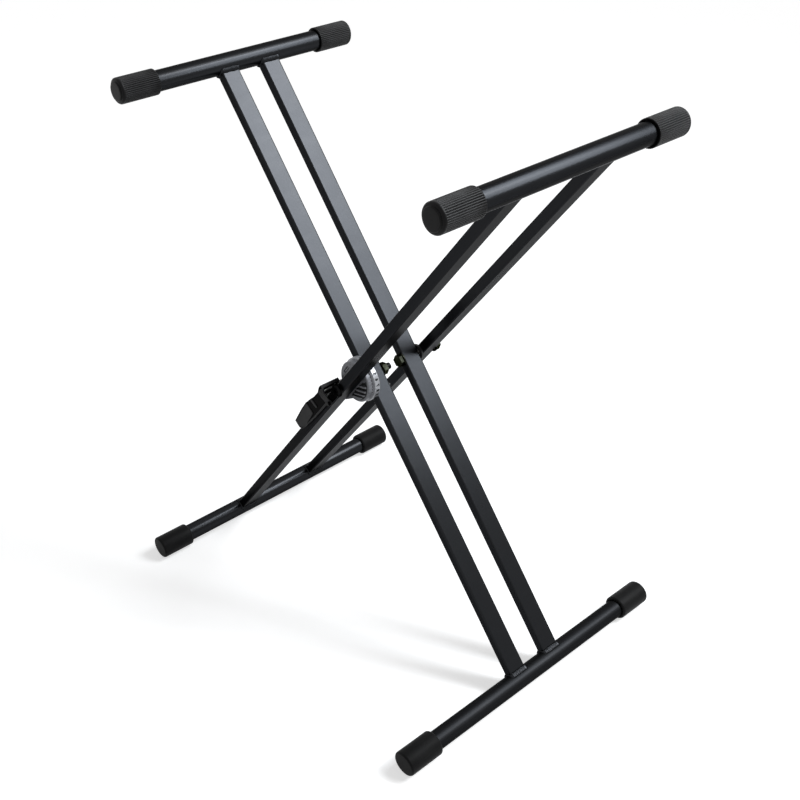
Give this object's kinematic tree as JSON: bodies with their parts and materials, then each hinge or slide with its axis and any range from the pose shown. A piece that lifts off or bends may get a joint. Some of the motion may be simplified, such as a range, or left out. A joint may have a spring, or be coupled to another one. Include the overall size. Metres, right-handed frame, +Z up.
{
  "type": "folding keyboard stand",
  "caption": "Folding X stand for a keyboard: two steel tube frames cross at a locking clutch with a squeeze lever; ribbed rubber grips on top, plain rubber feet below.",
  "frame": {"origin": "on the floor below the pivot line, at the middle of the bars' length", "axes": "+Z up, +Y along the bars away from the clutch and lever side, +X towards the top bar of the outer frame"},
  "size_m": [0.6702, 0.519, 0.8185],
  "materials": {
    "black_powder_coat": "satin powder coat",
    "grip_rubber": "matte ribbed rubber",
    "foot_rubber": "satin moulded rubber",
    "cast_alloy": "silver painted casting",
    "lever_plastic": "fine grained moulding",
    "blackened_steel": "black oxide",
    "zinc_steel": "zinc plated",
    "spacer_nylon": "plain nylon"
  },
  "bodies": {
    "inner_frame": {"disc_rivet_lower": "zinc_steel", "disc_rivet_upper": "zinc_steel", "far_head_washer": "zinc_steel", "far_nut_washer": "blackened_steel", "far_pivot_bolt": "zinc_steel", "far_pivot_nut": "blackened_steel", "inner_foot_bar": "black_powder_coat", "inner_foot_cap_far": "foot_rubber", "inner_foot_cap_near": "foot_rubber", "inner_leg_far": "black_powder_coat", "inner_leg_near": "black_powder_coat", "inner_sleeve_far": "zinc_steel", "inner_sleeve_near": "zinc_steel", "inner_top_bar": "black_powder_coat", "inner_top_grip_far": "grip_rubber", "inner_top_grip_near": "grip_rubber", "locking_disc": "cast_alloy", "near_head_washer": "blackened_steel", "near_nut_washer": "zinc_steel", "near_pivot_bolt": "blackened_steel", "near_pivot_nut": "zinc_steel"},
    "outer_frame": {"clutch_housing": "cast_alloy", "far_spacer": "spacer_nylon", "lever_pin": "zinc_steel", "lever_strap": "blackened_steel", "outer_foot_bar": "black_powder_coat", "outer_foot_cap_far": "foot_rubber", "outer_foot_cap_near": "foot_rubber", "outer_leg_far": "black_powder_coat", "outer_leg_near": "black_powder_coat", "outer_sleeve_far": "zinc_steel", "outer_sleeve_near": "zinc_steel", "outer_top_bar": "black_powder_coat", "outer_top_grip_far": "grip_rubber", "outer_top_grip_near": "grip_rubber"},
    "release_lever": {"link_pin": "zinc_steel", "release_lever": "lever_plastic"},
    "locking_pawl": {"locking_pawl": "zinc_steel", "pawl_spring": "zinc_steel"}
  },
  "joints": [
    {"name": "frame_fold", "type": "hinge", "parent": "inner_frame", "child": "outer_frame", "pos_m": [0, 0, 0.41496], "axis": [0, 1, 0], "range_deg": [-72, 26]},
    {"name": "lever_squeeze", "type": "hinge", "parent": "outer_frame", "child": "release_lever", "pos_m": [-0.01762, 0, 0.38552], "axis": [0, -1, 0], "range_deg": [0, 5], "stiffness_Nm_per_rad": 8, "springref_deg": -3.44},
    {"name": "pawl_slide", "type": "slide", "parent": "outer_frame", "child": "locking_pawl", "axis": [-0.6239, 0, -0.7815], "range_m": [0, 0.00192]}
  ],
  "couplings": [
    {"joint": "pawl_slide", "follows": "lever_squeeze", "m_per_rad": 0.022}
  ]
}
